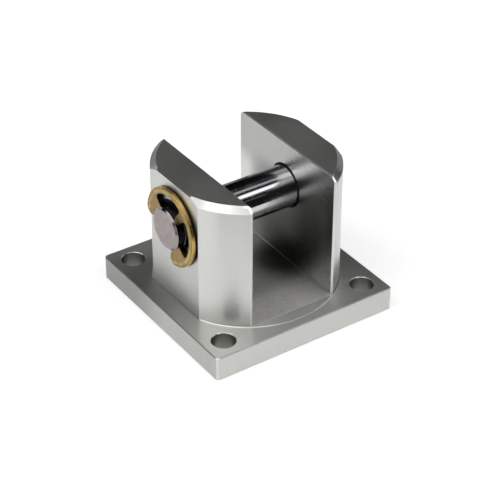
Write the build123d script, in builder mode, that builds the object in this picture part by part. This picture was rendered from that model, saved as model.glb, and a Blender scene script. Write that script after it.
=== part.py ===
from build123d import *
from math import acos, asin, cos, degrees, hypot, isclose, radians, sin, sqrt, tan
import os

os.makedirs("parts", exist_ok=True)

# Clevis bracket: a square plate and a slotted round boss machined from one block, with a pin across
# the slot that two E-clips hold. All sizes are in millimetres and all angles in degrees.
# X runs along the pin, Y runs through the slot and Z is up. The origin is the middle of the underside.

# Ears, turned as one round boss and then milled
slot_width = 21.5
ear_thickness = 8.5
flat_depth = 2.25
ear_rise_above_pin = 11.2
ear_top_chamfer = 1.4
slot_corner_break = 0.5
ear_top_edge_break = 0.3
foot_fillet = 0.4
floor_step = 0.1
cutter_corner_radius = 0.25
flat_foot_bevel = 0.2

# Plate
plate_thickness = 6.0
plate_margin = 2.5
plate_corner_radius = 0.8
plate_edge_break = 0.2
bolt_hole_diameter = 5.5
bolt_hole_inset = 5.0
bolt_hole_edge_break = 0.15

# Pin and its bore
pin_height = 25.8
pin_diameter = 10.0
pin_running_clearance = 0.03
bore_inner_edge_break = 0.4
bore_outer_edge_break = 1.0
pin_end_land = 1.2
pin_end_chamfer = 0.45
groove_depth = 0.5

# E-clips
clip_thickness = 1.1
clip_ear_gap = 0.15
clip_groove_play = 0.05
clip_grip_clearance = 0.02
clip_pocket_depth = 3.25
clip_ring_width = 1.6
left_clip_mouth_direction = -47.0
right_clip_mouth_direction = -170.0
clip_prong_start = 58.0
clip_prong_end = 94.0
clip_mouth_flare = 20.0
clip_lug_width = 2.2
clip_tip_radius = 1.7
clip_pocket_corner_radius = 0.8
clip_grip_corner_radius = 0.25
clip_edge_break = 0.12

# Sizes that follow from the ones above
half_slot = slot_width / 2
half_flats = half_slot + ear_thickness
boss_radius = half_flats + flat_depth
plate_side = 2 * (boss_radius + plate_margin)
bolt_pitch = plate_side - 2 * bolt_hole_inset
ear_top = pin_height + ear_rise_above_pin
floor_height = plate_thickness + floor_step
pin_radius = pin_diameter / 2
bore_radius = pin_radius + pin_running_clearance
groove_radius = pin_radius - groove_depth
clip_inner_face = half_flats + clip_ear_gap
groove_inner_face = clip_inner_face - clip_groove_play
groove_width = clip_thickness + 2 * clip_groove_play
pin_half_length = groove_inner_face + groove_width + pin_end_land
grip_radius = groove_radius + clip_grip_clearance
pocket_radius = groove_radius + clip_pocket_depth
clip_radius = pocket_radius + clip_ring_width


def at_radius(vertices, radius):
    """The corners of a flat outline that lie at one distance from its middle."""
    return vertices.filter_by(lambda corner: isclose(hypot(corner.X, corner.Y), radius, rel_tol=1e-4))


# Plate, with rounded corners, broken rims and a bolt hole in each corner
with BuildPart() as plate:
    with BuildSketch():
        RectangleRounded(plate_side, plate_side, plate_corner_radius)
    extrude(amount=plate_thickness)
    plate_rims = plate.faces().filter_by(Axis.Z).edges()
    chamfer(plate_rims, plate_edge_break)
    with Locations(Plane.XY.offset(plate_thickness)):
        with GridLocations(bolt_pitch, bolt_pitch, 2, 2):
            Hole(bolt_hole_diameter / 2, depth=plate_thickness)
    hole_rims = plate.edges(Select.LAST).filter_by(GeomType.CIRCLE)
    chamfer(hole_rims, bolt_hole_edge_break)

# Bracket: the boss turned and milled, with the plate joined to it
with BuildPart() as bracket:
    # The turned profile, with a small fillet at its foot and a conical chamfer round its top
    with BuildSketch(Plane.XZ):
        with BuildLine():
            Polyline(
                (0, plate_thickness / 2),
                (boss_radius + foot_fillet, plate_thickness / 2),
                (boss_radius + foot_fillet, plate_thickness),
            )
            RadiusArc(
                (boss_radius + foot_fillet, plate_thickness),
                (boss_radius, plate_thickness + foot_fillet),
                foot_fillet,
            )
            Polyline(
                (boss_radius, plate_thickness + foot_fillet),
                (boss_radius, ear_top - ear_top_chamfer),
                (boss_radius - ear_top_chamfer, ear_top),
                (0, ear_top),
                (0, plate_thickness / 2),
            )
        make_face()
    revolve(axis=Axis.Z)

    # The milled flats
    with BuildSketch():
        Rectangle(2 * half_flats, plate_side)
    extrude(amount=ear_top, mode=Mode.INTERSECT)

    # The milled slot, with small fillets from its cutter's rounded corners. It stops a hair above the
    # plate, so that the foot of the boss stays there as a thin disc.
    with BuildSketch(Plane.XZ) as slot:
        with Locations((0, floor_height)):
            Rectangle(slot_width, ear_top, align=(Align.CENTER, Align.MIN))
        fillet(slot.vertices().group_by(Axis.Y)[0], cutter_corner_radius)
    extrude(amount=plate_side, both=True, mode=Mode.SUBTRACT)
    add(plate.part)

    # The small bevel that the cutter leaves along the foot of each flat
    flat_half_length = sqrt(boss_radius**2 - half_flats**2)
    with BuildSketch(Plane.XZ):
        with Locations((-half_flats, plate_thickness), (half_flats, plate_thickness)):
            RegularPolygon(flat_foot_bevel, 4, major_radius=True)
    extrude(amount=flat_half_length, both=True)

    # The broken corners beside the slot
    slot_corner_y = sqrt(boss_radius**2 - half_slot**2)
    slot_corner_angle = degrees(acos(half_slot / boss_radius))
    corner_cut = 2 * slot_corner_break * cos(radians(slot_corner_angle / 2))
    with BuildSketch(Plane.XY.offset(floor_height)):
        for x_side in (-1, 1):
            for y_side in (-1, 1):
                turn = x_side * y_side * slot_corner_angle / 2
                with Locations((x_side * half_slot, y_side * slot_corner_y)):
                    Rectangle(corner_cut, corner_cut, rotation=turn)
    extrude(amount=ear_top, mode=Mode.SUBTRACT)

    # Broken straight edges along the tops of the ears
    top_edges = bracket.edges().group_by(Axis.Z)[-1]
    chamfer(top_edges.filter_by(Axis.Y), ear_top_edge_break)

    # The bore for the pin, through both ears
    with BuildSketch(Plane.YZ):
        with Locations((0, pin_height)):
            Circle(bore_radius)
    extrude(amount=plate_side, both=True, mode=Mode.SUBTRACT)
    bore_rims = bracket.edges().filter_by(GeomType.CIRCLE).filter_by(Plane.YZ)
    inner_rims = bore_rims.filter_by_position(Axis.X, -half_slot, half_slot)
    chamfer(bore_rims - inner_rims, bore_outer_edge_break)
    chamfer(inner_rims, bore_inner_edge_break)
bracket.part.label = "bracket"
export_step(bracket.part, "parts/bracket.step")

# Clevis pin, a ground round bar with chamfered ends and a ring groove near each end
with BuildPart() as clevis_pin:
    with BuildSketch(Plane.YZ):
        with Locations((0, pin_height)):
            Circle(pin_radius)
    extrude(amount=pin_half_length, both=True)
    pin_rims = clevis_pin.edges().filter_by(GeomType.CIRCLE)
    chamfer(pin_rims, pin_end_chamfer)
    for side in (-1, 1):
        with BuildSketch(Plane.YZ.offset(side * groove_inner_face)):
            with Locations((0, pin_height)):
                Circle(pin_diameter)
                Circle(groove_radius, mode=Mode.SUBTRACT)
        extrude(amount=side * groove_width, mode=Mode.SUBTRACT)
clevis_pin.part.label = "clevis_pin"
export_step(clevis_pin.part, "parts/clevis_pin.step")

# E-clips, stamped from flat strip and pushed onto the pin from different sides. Their outline is drawn
# with the mouth towards local X: two prongs and one lug grip the groove, and a pocket between the lug
# and each prong lets the clip spring open.
mouth_corner_x = grip_radius * cos(radians(clip_prong_start))
mouth_corner_y = grip_radius * sin(radians(clip_prong_start))
mouth_end_x = 2 * clip_radius
mouth_end_y = mouth_corner_y + (mouth_end_x - mouth_corner_x) * tan(radians(clip_mouth_flare))
half_lug = clip_lug_width / 2
pocket_span = 180 - clip_prong_end - degrees(asin(half_lug / pocket_radius))
pocket_corner_x = half_lug / tan(radians(clip_prong_end))

for side, name, mouth_direction in (
    (-1, "left_clip", left_clip_mouth_direction),
    (1, "right_clip", right_clip_mouth_direction),
):
    mouth = (0, cos(radians(mouth_direction)), sin(radians(mouth_direction)))
    clip_plane = Plane((side * clip_inner_face, 0, pin_height), mouth, (side, 0, 0))
    with BuildPart() as clip:
        with BuildSketch(clip_plane) as outline:
            Circle(clip_radius)
            Circle(grip_radius, mode=Mode.SUBTRACT)
            with BuildLine():
                Polyline(
                    (mouth_corner_x, -mouth_corner_y),
                    (mouth_end_x, -mouth_end_y),
                    (mouth_end_x, mouth_end_y),
                    (mouth_corner_x, mouth_corner_y),
                    close=True,
                )
            make_face(mode=Mode.SUBTRACT)
            for turn in (-1, 1):
                with BuildLine():
                    rim = CenterArc((0, 0), pocket_radius, turn * clip_prong_end, turn * pocket_span)
                    Polyline(rim @ 1, (pocket_corner_x, turn * half_lug), rim @ 0)
                make_face(mode=Mode.SUBTRACT)
            fillet(at_radius(outline.vertices(), clip_radius), clip_tip_radius)
            fillet(at_radius(outline.vertices(), pocket_radius), clip_pocket_corner_radius)
            fillet(at_radius(outline.vertices(), grip_radius), clip_grip_corner_radius)
        extrude(amount=clip_thickness)
        chamfer(clip.faces().filter_by(Axis.X).edges(), clip_edge_break)
    clip.part.label = name
    export_step(clip.part, f"parts/{name}.step")
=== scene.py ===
# The looks of the clevis bracket: its finishes, the studio round it and the camera.
# Every length is in metres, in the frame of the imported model.
from math import cos, pi, radians, sin, tan

import bpy
from mathutils import Matrix, Vector


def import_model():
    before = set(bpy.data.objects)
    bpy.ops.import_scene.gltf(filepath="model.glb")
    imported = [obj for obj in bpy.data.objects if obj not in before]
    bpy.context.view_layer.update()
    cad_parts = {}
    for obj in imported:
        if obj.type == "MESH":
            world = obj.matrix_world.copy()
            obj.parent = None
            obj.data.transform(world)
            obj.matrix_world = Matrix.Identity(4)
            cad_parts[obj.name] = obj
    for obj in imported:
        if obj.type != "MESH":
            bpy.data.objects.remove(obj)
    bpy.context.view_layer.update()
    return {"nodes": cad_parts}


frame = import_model()
scene = bpy.context.scene


class Graph:
    """A node tree, with short calls for the nodes that this scene needs.

    A mask is a value that is 1 inside a region and 0 outside it. A fade is a pair: the value at
    which a smooth change starts and the value at which it is done.
    """

    def __init__(self, tree):
        self.tree = tree
        tree.nodes.clear()

    def node(self, kind, **settings):
        made = self.tree.nodes.new(kind)
        for name, value in settings.items():
            setattr(made, name, value)
        return made

    def put(self, socket, value):
        """Links an output to the socket, or sets a plain number or colour on it."""
        if isinstance(value, bpy.types.NodeSocket):
            self.tree.links.new(value, socket)
        else:
            socket.default_value = value

    def math(self, operation, *values):
        made = self.node("ShaderNodeMath", operation=operation)
        for socket, value in zip(made.inputs, values):
            self.put(socket, value)
        return made.outputs[0]

    def plus(self, first, second):
        return self.math("ADD", first, second)

    def minus(self, first, second):
        return self.math("SUBTRACT", first, second)

    def times(self, product, *others):
        for other in others:
            product = self.math("MULTIPLY", product, other)
        return product

    def larger(self, first, second):
        return self.math("MAXIMUM", first, second)

    def size(self, value):
        """The value without its sign."""
        return self.math("ABSOLUTE", value)

    def above(self, value, limit):
        return self.math("GREATER_THAN", value, limit)

    def below(self, value, limit):
        return self.math("LESS_THAN", value, limit)

    def length(self, first, second):
        return self.math("SQRT", self.plus(self.times(first, first), self.times(second, second)))

    def step(self, value, fade, results=(0.0, 1.0)):
        """Goes smoothly from the first result to the second as the value goes through the fade."""
        made = self.node("ShaderNodeMapRange", interpolation_type="SMOOTHSTEP")
        for name, given in (
            ("Value", value),
            ("From Min", fade[0]),
            ("From Max", fade[1]),
            ("To Min", results[0]),
            ("To Max", results[1]),
        ):
            self.put(made.inputs[name], given)
        return made.outputs["Result"]

    def noise(self, vector, scale, detail=2.0, roughness=0.5):
        made = self.node("ShaderNodeTexNoise")
        self.put(made.inputs["Vector"], vector)
        self.put(made.inputs["Scale"], scale)
        self.put(made.inputs["Detail"], detail)
        self.put(made.inputs["Roughness"], roughness)
        return made.outputs["Fac"]

    # The Mix node's sockets have the same names for each type of data, so they are told apart by number
    def mix(self, mask, outside, inside):
        """A colour or a vector: outside where the mask is 0 and inside where it is 1."""
        made = self.node("ShaderNodeMix", data_type="RGBA")
        self.put(made.inputs[0], mask)
        self.put(made.inputs[6], outside)
        self.put(made.inputs[7], inside)
        return made.outputs[2]

    def mix_value(self, mask, outside, inside):
        """A number: outside where the mask is 0 and inside where it is 1."""
        made = self.node("ShaderNodeMix", data_type="FLOAT")
        self.put(made.inputs[0], mask)
        self.put(made.inputs[2], outside)
        self.put(made.inputs[3], inside)
        return made.outputs[0]

    def stretch(self, vector, scale):
        """The vector with each of its axes multiplied by its own scale."""
        made = self.node("ShaderNodeVectorMath", operation="MULTIPLY")
        self.put(made.inputs[0], vector)
        self.put(made.inputs[1], scale)
        return made.outputs[0]

    def brighten(self, colour, factor):
        made = self.node("ShaderNodeVectorMath", operation="SCALE")
        self.put(made.inputs[0], colour)
        self.put(made.inputs["Scale"], factor)
        return made.outputs[0]

    def split(self, vector):
        made = self.node("ShaderNodeSeparateXYZ")
        self.put(made.inputs[0], vector)
        return made.outputs

    def join(self, x, y, z):
        made = self.node("ShaderNodeCombineXYZ")
        for socket, value in zip(made.inputs, (x, y, z)):
            self.put(socket, value)
        return made.outputs[0]

    def bump(self, height, distance, strength):
        made = self.node("ShaderNodeBump")
        self.put(made.inputs["Height"], height)
        self.put(made.inputs["Distance"], distance)
        self.put(made.inputs["Strength"], strength)
        return made.outputs["Normal"]

    def place(self):
        """The point's place and its normal, in the piece's own frame."""
        made = self.node("ShaderNodeTexCoord")
        return made.outputs["Object"], made.outputs["Normal"]


def metal(name):
    """A new metal material, with its graph and its surface shader's inputs."""
    material = bpy.data.materials.new(name)
    material.use_nodes = True
    graph = Graph(material.node_tree)
    shader = graph.node("ShaderNodeBsdfPrincipled")
    output = graph.node("ShaderNodeOutputMaterial")
    graph.put(output.inputs["Surface"], shader.outputs["BSDF"])
    shader.inputs["Metallic"].default_value = 1.0
    return material, graph, shader.inputs


# The middle of a noise's range, where most of its values lie
NOISE_FADE = (0.30, 0.70)

# The bracket's surfaces, told apart by the way they face and by limits just beside their true places
UP_FADE = (0.90, 0.96)
SIDEWAYS_FADE = (0.96, 0.99)
LOW_LIMIT = 0.0065
FOOT_LIMIT = 0.0062
TOP_EDGE_LIMIT = 0.0366
SLOT_HALF_WIDTH = 0.01075
WALL_LIMIT = 0.0120
PLATE_SIDE_LIMIT = 0.0239
PIN_HEIGHT = 0.0258
BORE_REACH = 0.00548
BORE_MOUTH_LIMIT = 0.0180
BORE_MOUTH_REACH = 0.0063
HOLE_PLACE = 0.0190
HOLE_REACH = 0.00282

# The broken corners beside the slot: their inner and outer side, the height at which they reach the
# cone round the ears' tops, how far along the slot they start below it and above it, and where the
# right ear's glint starts
CORNER_INNER_FADE = (0.01060, 0.01074)
CORNER_OUTER_FADE = (0.01145, 0.01120)
CORNER_TOP_FADE = (0.0354, 0.0358)
CORNER_STARTS = (0.01790, 0.01650)
GLINT_START = 0.0171

# The line that the cutter left across each mouth of the slot, painted bright as a highlight, and the
# rim of the boss's foot, which has painted shade on the right
WITNESS_PLACE = 0.0185
WITNESS_HALF_WIDTH = 0.00007
FOOT_RIM_REACH = 0.0216
FOOT_RIM_HALF_WIDTH = 0.0009
FOOT_RIM_FADE = (0.0030, 0.0090)

# The plate's ends, with painted shade that makes them darker towards the back
END_SHADE_FADE = (-0.004, 0.012)

# The slot's walls, with painted light that makes them lighter beside its mouths
MOUTH_LIGHT_ALONG_FADE = (0.0115, 0.0160)
MOUTH_LIGHT_TOP_FADE = (0.0290, 0.0230)
MOUTH_LIGHT_FOOT_FADE = (0.0100, 0.0160)

# The painted shadow of the pin: a sheet of it down the walls below the bores, and a darker patch under
# each
WALL_SHADOW_ALONG_FADE = (0.0150, 0.0060)
WALL_SHADOW_TOP_FADE = (0.0310, 0.0240)
PIN_SHADOW_PLACE = 0.0095
PIN_SHADOW_FADE = (0.0099, 0.0030)

# How much of a surface's own colour the painted shadow, the painted highlights and the marks on it hide
WALL_SHADOW_COVER = 0.65
PIN_SHADOW_COVER = 0.85
TOP_EDGE_COVER = 0.7
WITNESS_COVER = 0.8

# The colours of the bracket's surfaces, of the marks on them and of the light and shade painted on them
ALUMINIUM = (0.612, 0.614, 0.596, 1)
FLAT_COLOUR = (0.585, 0.590, 0.570, 1)
PLATE_TOP_COLOUR = (0.620, 0.632, 0.598, 1)
PLATE_SIDE_COLOUR = (0.525, 0.530, 0.508, 1)
PLATE_END_COLOUR = (0.460, 0.465, 0.445, 1)
END_SHADE_COLOUR = (0.300, 0.303, 0.288, 1)
WALL_COLOUR = (0.395, 0.400, 0.386, 1)
MOUTH_LIGHT_COLOUR = (0.60, 0.605, 0.590, 1)
SLOT_FLOOR_COLOUR = (0.64, 0.63, 0.60, 1)
HOLE_SHADE_COLOUR = (0.32, 0.31, 0.29, 1)
FOOT_RIM_SHADE_COLOUR = (0.30, 0.30, 0.28, 1)
PAINTED_HIGHLIGHT_COLOUR = (0.96, 0.96, 0.94, 1)
SHADOW_COLOUR = (0.045, 0.050, 0.042, 1)
BORE_SHADE_COLOUR = (0.045, 0.040, 0.042, 1)

# Clouds that vary the colour and the roughness, and long upright streaks and the slot floor's specks,
# which vary the colour alone
CLOUD_SCALE = 70.0
CLOUD_SHADES = (-0.02, 0.02)
CLOUD_ROUGHNESSES = (-0.02, 0.02)
STREAK_STRETCH = (420, 420, 22)
STREAK_SHADES = (-0.012, 0.012)
SPECK_SCALE = 2400.0
SPECK_FADE = (0.42, 0.68)
SPECK_SHADES = (0.0, 0.20)

# The slot's floor grows rougher along the slot, and the corners are smoother at their tops
BODY_ROUGHNESS = 0.30
FLAT_ROUGHNESS = 0.38
WALL_ROUGHNESS = 0.26
EAR_TOP_ROUGHNESS = 0.39
PLATE_TOP_ROUGHNESS = 0.47
SLOT_FLOOR_FADE = (0.006, 0.013)
SLOT_FLOOR_ROUGHNESSES = (0.38, 0.52)
CORNER_ROUGHNESSES = (0.55, 0.30)
BORE_ROUGHNESS = 0.55

# The tool marks: turned rings on the plate, cutter arcs on the slot's floor, level lines elsewhere and a
# fine grain over all of them
RING_SCALE = 5200.0
ARC_SCALE = 2400.0
ARC_SQUEEZE = 0.25
ARC_DEPTH = 4.0
LINE_STRETCH = (30, 30, 5200)
GRAIN_SCALE = 900.0
GRAIN_DEPTH = 0.6
MARK_DEPTH = 0.0000035
ALUMINIUM_ANISOTROPY = 0.75

# Directions for the highlights, and the scale that mirrors a normal from one ear to the other
ALONG_X = (1, 0, 0, 1)
ALONG_Y = (0, 1, 0, 1)
ALONG_Z = (0, 0, 1, 1)
MIRRORED_IN_X = (-1, 1, 1)


class BracketPlaces:
    """Where a point of the bracket lies, and masks for the bracket's surfaces and their marks."""

    def __init__(self, graph):
        self.graph = graph
        self.place, normal = graph.place()
        self.x, self.y, self.z = graph.split(self.place)
        side, _, up = graph.split(normal)
        self.across = graph.size(self.x)
        self.along = graph.size(self.y)
        self.from_middle = graph.length(self.x, self.y)
        self.level = graph.step(up, UP_FADE)
        self.sideways = graph.step(graph.size(side), SIDEWAYS_FADE)
        self.low = graph.below(self.z, LOW_LIMIT)
        self.near_slot = graph.below(self.across, WALL_LIMIT)
        self.wall = graph.times(self.sideways, self.near_slot)
        self.plate_top = graph.times(self.level, self.low)
        self.in_slot = graph.times(self.plate_top, graph.below(self.across, SLOT_HALF_WIDTH))
        self.slot_floor = graph.times(self.in_slot, graph.below(self.along, WITNESS_PLACE))
        furthest = graph.larger(self.across, self.along)
        self.plate_side = graph.above(furthest, PLATE_SIDE_LIMIT)
        self.corner = self.find_corner()
        # The corners, the ears' top edges and the witness line are painted bright as highlights
        self.bright = graph.larger(self.corner, self.find_witness())
        self.bore = self.find_bore()

    def find_corner(self):
        """The broken corners beside the slot, and the broken edges along the ears' tops."""
        graph = self.graph
        inner = graph.step(self.across, CORNER_INNER_FADE)
        outer = graph.step(self.across, CORNER_OUTER_FADE)
        start = graph.step(self.z, CORNER_TOP_FADE, CORNER_STARTS)
        corner = graph.times(inner, outer, graph.above(self.along, start))
        top_edge = graph.times(graph.above(self.z, TOP_EDGE_LIMIT), self.near_slot, TOP_EDGE_COVER)
        slanted = graph.minus(1.0, graph.larger(self.wall, self.level))
        return graph.times(graph.larger(corner, top_edge), slanted, graph.above(self.z, FOOT_LIMIT))

    def find_witness(self):
        """The line that the cutter left across each mouth of the slot."""
        graph = self.graph
        from_line = graph.size(graph.minus(self.along, WITNESS_PLACE))
        return graph.times(graph.below(from_line, WITNESS_HALF_WIDTH), self.in_slot, WITNESS_COVER)

    def find_bore(self):
        """The bore and its edge breaks, of which the outer one is the wider."""
        graph = self.graph
        from_axis = graph.length(self.y, graph.minus(self.z, PIN_HEIGHT))
        outer = graph.above(self.across, BORE_MOUTH_LIMIT)
        return graph.below(from_axis, graph.mix_value(outer, BORE_REACH, BORE_MOUTH_REACH))


def aluminium_surfaces(graph, at):
    """The colour of each surface, with painted light by the slot's mouths and the pin's painted shadow.
    """
    colour = graph.mix(at.sideways, ALUMINIUM, FLAT_COLOUR)
    # Painted shade: the plate's ends grow darker towards the back
    end = graph.mix(graph.step(at.y, END_SHADE_FADE), PLATE_END_COLOUR, END_SHADE_COLOUR)
    colour = graph.mix(at.plate_side, colour, graph.mix(at.sideways, PLATE_SIDE_COLOUR, end))

    # Painted light on the walls beside the slot's mouths
    mouth_light_height = graph.times(graph.step(at.z, MOUTH_LIGHT_TOP_FADE), graph.step(at.z, MOUTH_LIGHT_FOOT_FADE))
    mouth_light = graph.times(graph.step(at.along, MOUTH_LIGHT_ALONG_FADE), mouth_light_height)
    # A painted shadow of the pin down the walls below the bores
    wall_shadow = graph.times(graph.step(at.along, WALL_SHADOW_ALONG_FADE), graph.step(at.z, WALL_SHADOW_TOP_FADE))
    wall_colour = graph.mix(mouth_light, WALL_COLOUR, MOUTH_LIGHT_COLOUR)
    wall_colour = graph.mix(graph.times(wall_shadow, WALL_SHADOW_COVER), wall_colour, SHADOW_COLOUR)
    colour = graph.mix(at.wall, colour, wall_colour)

    colour = graph.mix(at.plate_top, colour, PLATE_TOP_COLOUR)
    return graph.mix(at.slot_floor, colour, SLOT_FLOOR_COLOUR)


def aluminium_marks(graph, at, colour):
    """The colour with painted highlights on edges, and painted shade and shadow in the slot and holes.
    """
    # Painted shade on the rim of the boss's foot, faded in towards the right
    from_rim = graph.size(graph.minus(at.from_middle, FOOT_RIM_REACH))
    shaded_rim = graph.times(at.low, graph.minus(1.0, at.level), graph.below(from_rim, FOOT_RIM_HALF_WIDTH))
    colour = graph.mix(graph.times(shaded_rim, graph.step(at.x, FOOT_RIM_FADE)), colour, FOOT_RIM_SHADE_COLOUR)
    # Painted highlights on the broken corners, the ears' top edges and the witness line
    colour = graph.mix(at.bright, colour, PAINTED_HIGHLIGHT_COLOUR)

    # A painted shadow of the pin where each wall meets the slot's floor
    from_pin_shadow = graph.length(at.y, graph.minus(at.across, PIN_SHADOW_PLACE))
    from_pin_shadow = graph.length(from_pin_shadow, graph.minus(at.z, LOW_LIMIT))
    pin_shadow = graph.times(graph.step(from_pin_shadow, PIN_SHADOW_FADE), at.near_slot, PIN_SHADOW_COVER)
    colour = graph.mix(pin_shadow, colour, SHADOW_COLOUR)
    # Painted shade on the bores and their edge breaks
    colour = graph.mix(at.bore, colour, BORE_SHADE_COLOUR)

    # Painted shade on the walls of the bolt holes
    from_hole = graph.length(graph.minus(at.across, HOLE_PLACE), graph.minus(at.along, HOLE_PLACE))
    hole_shade = graph.times(graph.below(from_hole, HOLE_REACH), at.low)
    return graph.mix(hole_shade, colour, HOLE_SHADE_COLOUR)


def aluminium_shade(graph, at, clouds):
    """How much lighter or darker the colour is from place to place, as a factor round 1."""
    streaks = graph.noise(graph.stretch(at.place, STREAK_STRETCH), 1.0)
    specks = graph.noise(at.place, SPECK_SCALE, detail=3.0, roughness=0.6)
    shade = graph.plus(1.0, graph.step(clouds, NOISE_FADE, CLOUD_SHADES))
    shade = graph.plus(shade, graph.step(streaks, NOISE_FADE, STREAK_SHADES))
    return graph.plus(shade, graph.times(at.slot_floor, graph.step(specks, SPECK_FADE, SPECK_SHADES)))


def aluminium_roughness(graph, at, clouds):
    floor_roughness = graph.step(at.along, SLOT_FLOOR_FADE, SLOT_FLOOR_ROUGHNESSES)
    corner_roughness = graph.step(at.z, CORNER_TOP_FADE, CORNER_ROUGHNESSES)
    roughness = graph.mix_value(at.sideways, BODY_ROUGHNESS, FLAT_ROUGHNESS)
    for mask, inside in (
        (at.wall, WALL_ROUGHNESS),
        (at.level, EAR_TOP_ROUGHNESS),
        (at.plate_top, PLATE_TOP_ROUGHNESS),
        (at.slot_floor, floor_roughness),
        (at.bright, corner_roughness),
        (at.bore, BORE_ROUGHNESS),
    ):
        roughness = graph.mix_value(mask, roughness, inside)
    return graph.plus(roughness, graph.step(clouds, NOISE_FADE, CLOUD_ROUGHNESSES))


def aluminium_tangent(graph, at):
    """The way that the tool marks spread a highlight: across the rings, the arcs and the lines."""
    spread = graph.mix(at.low, ALONG_Y, graph.join(at.x, at.y, 0))
    spread = graph.mix(at.slot_floor, spread, ALONG_Y)
    return graph.mix(at.level, ALONG_Z, spread)


def aluminium_normal(graph, at):
    """The normal, with the tool marks and the glint of the right ear's top corners."""
    rings = graph.noise(graph.join(at.from_middle, 0, 0), RING_SCALE, detail=1.0)
    reach_squared = graph.minus(SLOT_HALF_WIDTH**2, graph.times(at.x, at.x))
    arc = graph.plus(at.y, graph.math("SQRT", graph.larger(reach_squared, 0.0)))
    arcs = graph.noise(graph.join(arc, graph.times(at.x, ARC_SQUEEZE), 0), ARC_SCALE)
    lines = graph.noise(graph.stretch(at.place, LINE_STRETCH), 1.0, detail=1.0)
    grain = graph.noise(at.place, GRAIN_SCALE, detail=3.0)
    marks = graph.mix_value(at.plate_top, lines, rings)
    marks = graph.mix_value(at.slot_floor, marks, graph.times(arcs, ARC_DEPTH))
    marks = graph.plus(marks, graph.times(grain, GRAIN_DEPTH))
    normal = graph.bump(marks, MARK_DEPTH, 1.0)

    # The top corners of the right ear glint as those of the left ear do, so the normal is mirrored there
    right = graph.times(graph.above(at.x, 0.0), graph.above(at.along, GLINT_START))
    glint = graph.times(at.corner, graph.step(at.z, CORNER_TOP_FADE), right)
    return graph.mix(glint, normal, graph.stretch(normal, MIRRORED_IN_X))


def machined_aluminium():
    """Bare machined aluminium, with its tool marks, painted highlights and painted light, shade and
    shadow.
    """
    material, graph, surface = metal("machined_aluminium")
    at = BracketPlaces(graph)
    clouds = graph.noise(at.place, CLOUD_SCALE, detail=3.0)
    colour = aluminium_marks(graph, at, aluminium_surfaces(graph, at))
    colour = graph.brighten(colour, aluminium_shade(graph, at, clouds))
    graph.put(surface["Base Color"], colour)
    graph.put(surface["Roughness"], aluminium_roughness(graph, at, clouds))
    surface["Anisotropic"].default_value = ALUMINIUM_ANISOTROPY
    graph.put(surface["Tangent"], aluminium_tangent(graph, at))
    graph.put(surface["Normal"], aluminium_normal(graph, at))
    return material


# The pin: its ends, its length outside the ears and its grooves
PIN_END_FADE = (0.60, 0.90)
PIN_OUTSIDE_LIMIT = 0.0185
GROOVE_REACH = 0.0048
GROOVE_LIMIT = 0.02055
SHANK_COLOUR = (0.560, 0.560, 0.585, 1)
OUTSIDE_COLOUR = (0.270, 0.250, 0.260, 1)
END_COLOURS = ((0.33, 0.29, 0.285, 1), (0.39, 0.345, 0.335, 1))
GROOVE_SHADE_COLOUR = (0.03, 0.025, 0.03, 1)
MOTTLE_SCALE = 900.0
MOTTLE_FADE = (0.35, 0.65)
SHANK_ROUGHNESSES = (0.11, 0.14)
OUTSIDE_ROUGHNESS = 0.10
END_ROUGHNESS = 0.40
GROOVE_ROUGHNESS = 0.5
STEEL_ANISOTROPY = 0.95


def polished_steel():
    """Ground and polished steel, with dull sawn ends and painted shade in the grooves."""
    material, graph, surface = metal("polished_steel")
    place, normal = graph.place()
    x, y, z = graph.split(place)
    across = graph.size(x)
    end = graph.step(graph.size(graph.split(normal)[0]), PIN_END_FADE)
    outside = graph.above(across, PIN_OUTSIDE_LIMIT)
    from_axis = graph.length(y, graph.minus(z, PIN_HEIGHT))
    beside_ear = graph.times(outside, graph.below(across, GROOVE_LIMIT))
    groove = graph.times(graph.below(from_axis, GROOVE_REACH), beside_ear)
    mottle = graph.noise(place, MOTTLE_SCALE, detail=3.0)

    colour = graph.mix(outside, SHANK_COLOUR, OUTSIDE_COLOUR)
    colour = graph.mix(end, colour, graph.mix(graph.step(mottle, MOTTLE_FADE), *END_COLOURS))
    # Painted shade in the grooves under the clips
    graph.put(surface["Base Color"], graph.mix(groove, colour, GROOVE_SHADE_COLOUR))

    shank_roughness = graph.step(mottle, NOISE_FADE, SHANK_ROUGHNESSES)
    roughness = graph.mix_value(outside, shank_roughness, OUTSIDE_ROUGHNESS)
    roughness = graph.mix_value(end, roughness, END_ROUGHNESS)
    graph.put(surface["Roughness"], graph.mix_value(groove, roughness, GROOVE_ROUGHNESS))

    # The fine ground lines run round the pin and spread its reflections along it
    surface["Anisotropic"].default_value = STEEL_ANISOTROPY
    graph.put(surface["Tangent"], graph.mix(end, ALONG_X, ALONG_Y))
    return material


# The clips: their faces, the two rims of the ring, and the outer side of their stamped edge, which is
# rolled
CLIP_FACE_FADE = (0.80, 0.95)
OUTER_RIM_FADE = (0.0086, 0.0090)
INNER_RIM_FADE = (0.0083, 0.0079)
ROLLED_ACROSS_FADE = (0.01965, 0.01995)
ROLLED_REACH_FADE = (0.0084, 0.0090)
GOLD_SCALE = 620.0
GOLD_FADE = (0.38, 0.62)
GOLD_COLOURS = ((0.25, 0.180, 0.055, 1), (0.50, 0.370, 0.130, 1))
TINT_SCALE = 330.0
PINK_FADE = (0.52, 0.64)
PINK_COVERS = (0.0, 0.75)
PINK_TINT = (0.40, 0.240, 0.165, 1)
GREEN_FADE = (0.48, 0.36)
GREEN_COVERS = (0.0, 0.55)
GREEN_TINT = (0.26, 0.250, 0.090, 1)
RIM_SHADE_COVER = 0.7
RIM_SHADE_COLOUR = (0.20, 0.120, 0.035, 1)
EDGE_SHADE_COLOUR = (0.030, 0.020, 0.014, 1)
ROLLED_EDGE_COLOUR = (0.56, 0.37, 0.10, 1)
ZINC_ROUGHNESSES = (0.26, 0.36)
ZINC_DEPTH = 0.000012
ZINC_BUMP_STRENGTH = 0.6


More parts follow.
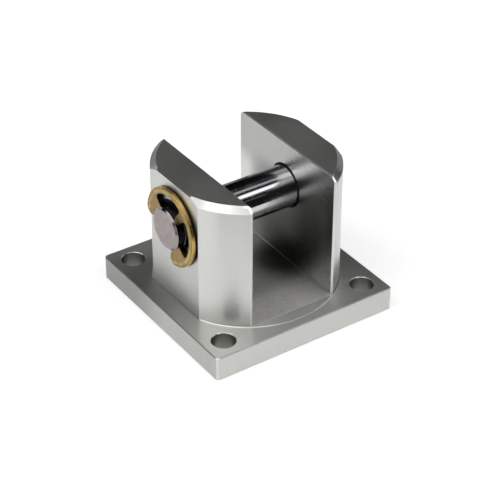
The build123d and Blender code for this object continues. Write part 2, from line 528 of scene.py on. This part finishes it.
def yellow_zinc():
    """Yellow chromated steel, clouded on its faces, with painted shade on its ring's rims and stamped
    edge.
    """
    material, graph, surface = metal("yellow_zinc")
    place, normal = graph.place()
    x, y, z = graph.split(place)
    face = graph.step(graph.size(graph.split(normal)[0]), CLIP_FACE_FADE)
    clouds = graph.noise(place, GOLD_SCALE, detail=3.0, roughness=0.6)
    tints = graph.noise(place, TINT_SCALE)
    gold = graph.mix(graph.step(clouds, GOLD_FADE), *GOLD_COLOURS)
    gold = graph.mix(graph.step(tints, PINK_FADE, PINK_COVERS), gold, PINK_TINT)
    gold = graph.mix(graph.step(tints, GREEN_FADE, GREEN_COVERS), gold, GREEN_TINT)

    # The rims of the ring are painted a deeper gold as shade, the rolled side of the stamped edge is a
    # deeper gold, and the rest of that edge is painted near black as shade
    from_axis = graph.length(y, graph.minus(z, PIN_HEIGHT))
    shaded_rim = graph.larger(graph.step(from_axis, OUTER_RIM_FADE), graph.step(from_axis, INNER_RIM_FADE))
    gold = graph.mix(graph.times(shaded_rim, RIM_SHADE_COVER), gold, RIM_SHADE_COLOUR)
    rolled = graph.step(graph.size(x), ROLLED_ACROSS_FADE)
    rolled = graph.times(rolled, graph.step(from_axis, ROLLED_REACH_FADE))
    # Painted shade on the stamped edge, away from its rolled side
    edge = graph.mix(rolled, EDGE_SHADE_COLOUR, ROLLED_EDGE_COLOUR)
    graph.put(surface["Base Color"], graph.mix(face, edge, gold))
    graph.put(surface["Roughness"], graph.step(clouds, NOISE_FADE, ZINC_ROUGHNESSES))
    graph.put(surface["Normal"], graph.bump(clouds, ZINC_DEPTH, ZINC_BUMP_STRENGTH))
    return material


def dress(node, material):
    mesh = frame["nodes"][node].data
    mesh.materials.clear()
    mesh.materials.append(material)


clip_finish = yellow_zinc()
dress("bracket", machined_aluminium())
dress("clevis_pin", polished_steel())
dress("left_clip", clip_finish)
dress("right_clip", clip_finish)


# The studio. Angles are in degrees: azimuth 0 is -Y and 90 is +X.
FLOOR_RADIUS = 0.8
FLOOR_CORNERS = 128
FLOOR_COLOUR = (0.93, 0.93, 0.93, 1)
FLOOR_LIFT = 0.36
HORIZON_FADE = (0.14, 0.18)
SKY_STRENGTHS = (1.25, 0.006)
STUDIO_CENTRE = Vector((0, 0, 0.02))

# Each lamp's name, azimuth, elevation, width and height as seen from the object, and radiance
LAMP_DISTANCE = 2.0
LAMPS = (
    ("overhead", 0, 89.9, 32, 32, 1.9),
    ("left", -104, 36, 50, 32, 1.5),
    ("left_high", -84, 60, 22, 18, 3.4),
    ("left_front", -44, 51, 27, 24, 1.75),
    ("front", 8, 50, 26, 22, 3.5),
    ("front_strip", 44.5, 47, 14, 12.9, 1.9),
    ("front_glow", 81, 61.5, 10, 8, 0.65),
    ("front_low", 31, 24.5, 8, 5.5, 0.17),
    ("right", 72, 33, 32, 21, 2.4),
    ("right_high", 102, 36, 26, 14, 1.2),
    ("left_back_high", -133, 50, 22, 18, 0.6),
)

# Each card's name, the azimuths at which it starts and ends, and its radiance
CARD_DISTANCE = 0.11
CARD_HEIGHT = 0.058
CARD_STEPS = 24
CARDS = (
    ("front_card", -65, 92, 0.008),
    ("right_card", 92, 122, 0.30),
    ("back_card", 122, 152, 0.008),
    ("back_left_card", 152, 196, 0.30),
)

# The camera, where it stood for the photograph, with its aim beside the target in metres
CAMERA_AZIMUTH = -34.584
CAMERA_ELEVATION = 34.365
CAMERA_ROLL = 0.2465
CAMERA_DISTANCE = 0.39722
CAMERA_TARGET = Vector((0, 0, 0.0168))
CAMERA_OFFSET = (0.00083, -0.003989)
CAMERA_CLIP_START = 0.01
SENSOR_WIDTH_MM = 36
LENS_MM = 125.39


def direction(azimuth, elevation):
    """The unit vector from the studio's centre towards a place in it."""
    a = radians(azimuth)
    e = radians(elevation)
    return Vector((sin(a) * cos(e), -cos(a) * cos(e), sin(e)))


def link(name, data):
    placed = bpy.data.objects.new(name, data)
    scene.collection.objects.link(placed)
    return placed


def plain_material(name):
    """A new material, with its graph and its output's surface input."""
    material = bpy.data.materials.new(name)
    material.use_nodes = True
    graph = Graph(material.node_tree)
    return material, graph, graph.node("ShaderNodeOutputMaterial").inputs["Surface"]


def floor():
    """Pale paper that keeps the object's shadow and is lifted to white where it is seen."""
    bpy.ops.mesh.primitive_circle_add(vertices=FLOOR_CORNERS, radius=FLOOR_RADIUS, fill_type="NGON")
    disc = bpy.context.object
    disc.name = "floor"
    material, graph, surface = plain_material("floor")
    paper = graph.node("ShaderNodeBsdfDiffuse")
    graph.put(paper.inputs["Color"], FLOOR_COLOUR)
    path = graph.node("ShaderNodeLightPath")
    seen = graph.larger(path.outputs["Is Camera Ray"], path.outputs["Is Glossy Ray"])
    seen = graph.larger(seen, path.outputs["Is Transmission Ray"])
    lift = graph.node("ShaderNodeEmission")
    graph.put(lift.inputs["Strength"], graph.times(seen, FLOOR_LIFT))
    both = graph.node("ShaderNodeAddShader")
    graph.put(both.inputs[0], paper.outputs[0])
    graph.put(both.inputs[1], lift.outputs[0])
    graph.put(surface, both.outputs[0])
    disc.data.materials.append(material)


def lamp(name, azimuth, elevation, width, height, radiance):
    """A rectangular lamp that faces the object."""
    data = bpy.data.lights.new(name, "AREA")
    data.shape = "RECTANGLE"
    data.size = 2 * LAMP_DISTANCE * tan(radians(width / 2))
    data.size_y = 2 * LAMP_DISTANCE * tan(radians(height / 2))
    data.energy = radiance * pi * data.size * data.size_y
    towards = direction(azimuth, elevation)
    placed = link(name, data)
    placed.location = STUDIO_CENTRE + LAMP_DISTANCE * towards
    placed.rotation_euler = towards.to_track_quat("Z", "Y").to_euler()
    placed.visible_camera = False


def card(name, start, end, radiance):
    """A curved card that stands on the floor round the object and shows only in reflections."""
    turn = (end - start) / CARD_STEPS
    foot = [CARD_DISTANCE * direction(start + turn * i, 0) for i in range(CARD_STEPS + 1)]
    corners = foot + [point + Vector((0, 0, CARD_HEIGHT)) for point in foot]
    row = len(foot)
    faces = [(i, i + 1, i + 1 + row, i + row) for i in range(CARD_STEPS)]
    mesh = bpy.data.meshes.new(name)
    mesh.from_pydata(corners, [], faces)
    material, graph, surface = plain_material(name)
    glow = graph.node("ShaderNodeEmission")
    graph.put(glow.inputs["Strength"], radiance)
    graph.put(surface, glow.outputs[0])
    mesh.materials.append(material)
    placed = link(name, mesh)
    placed.visible_camera = False
    placed.visible_diffuse = False
    placed.visible_shadow = False


def world():
    """White round the horizon and nearly black above it, so that the lamps alone show in the metal."""
    made = bpy.data.worlds.new("studio")
    made.use_nodes = True
    graph = Graph(made.node_tree)
    towards = graph.node("ShaderNodeTexCoord").outputs["Generated"]
    background = graph.node("ShaderNodeBackground")
    strength = graph.step(graph.split(towards)[2], HORIZON_FADE, SKY_STRENGTHS)
    graph.put(background.inputs["Strength"], strength)
    output = graph.node("ShaderNodeOutputWorld")
    graph.put(output.inputs["Surface"], background.outputs[0])
    scene.world = made


def camera():
    data = bpy.data.cameras.new("camera")
    data.sensor_width = SENSOR_WIDTH_MM
    data.lens = LENS_MM
    data.clip_start = CAMERA_CLIP_START
    back = direction(CAMERA_AZIMUTH, CAMERA_ELEVATION)
    level_right = direction(CAMERA_AZIMUTH + 90, 0)
    level_up = back.cross(level_right)
    roll = radians(CAMERA_ROLL)
    right = cos(roll) * level_right + sin(roll) * level_up
    up = cos(roll) * level_up - sin(roll) * level_right
    turn = Matrix((right, up, back)).transposed().to_4x4()
    aim = CAMERA_TARGET + CAMERA_OFFSET[0] * right + CAMERA_OFFSET[1] * up
    placed = link("camera", data)
    placed.matrix_world = Matrix.Translation(aim + CAMERA_DISTANCE * back) @ turn
    scene.camera = placed


floor()
world()
for given in LAMPS:
    lamp(*given)
for given in CARDS:
    card(*given)
camera()
scene.view_settings.view_transform = "Standard"
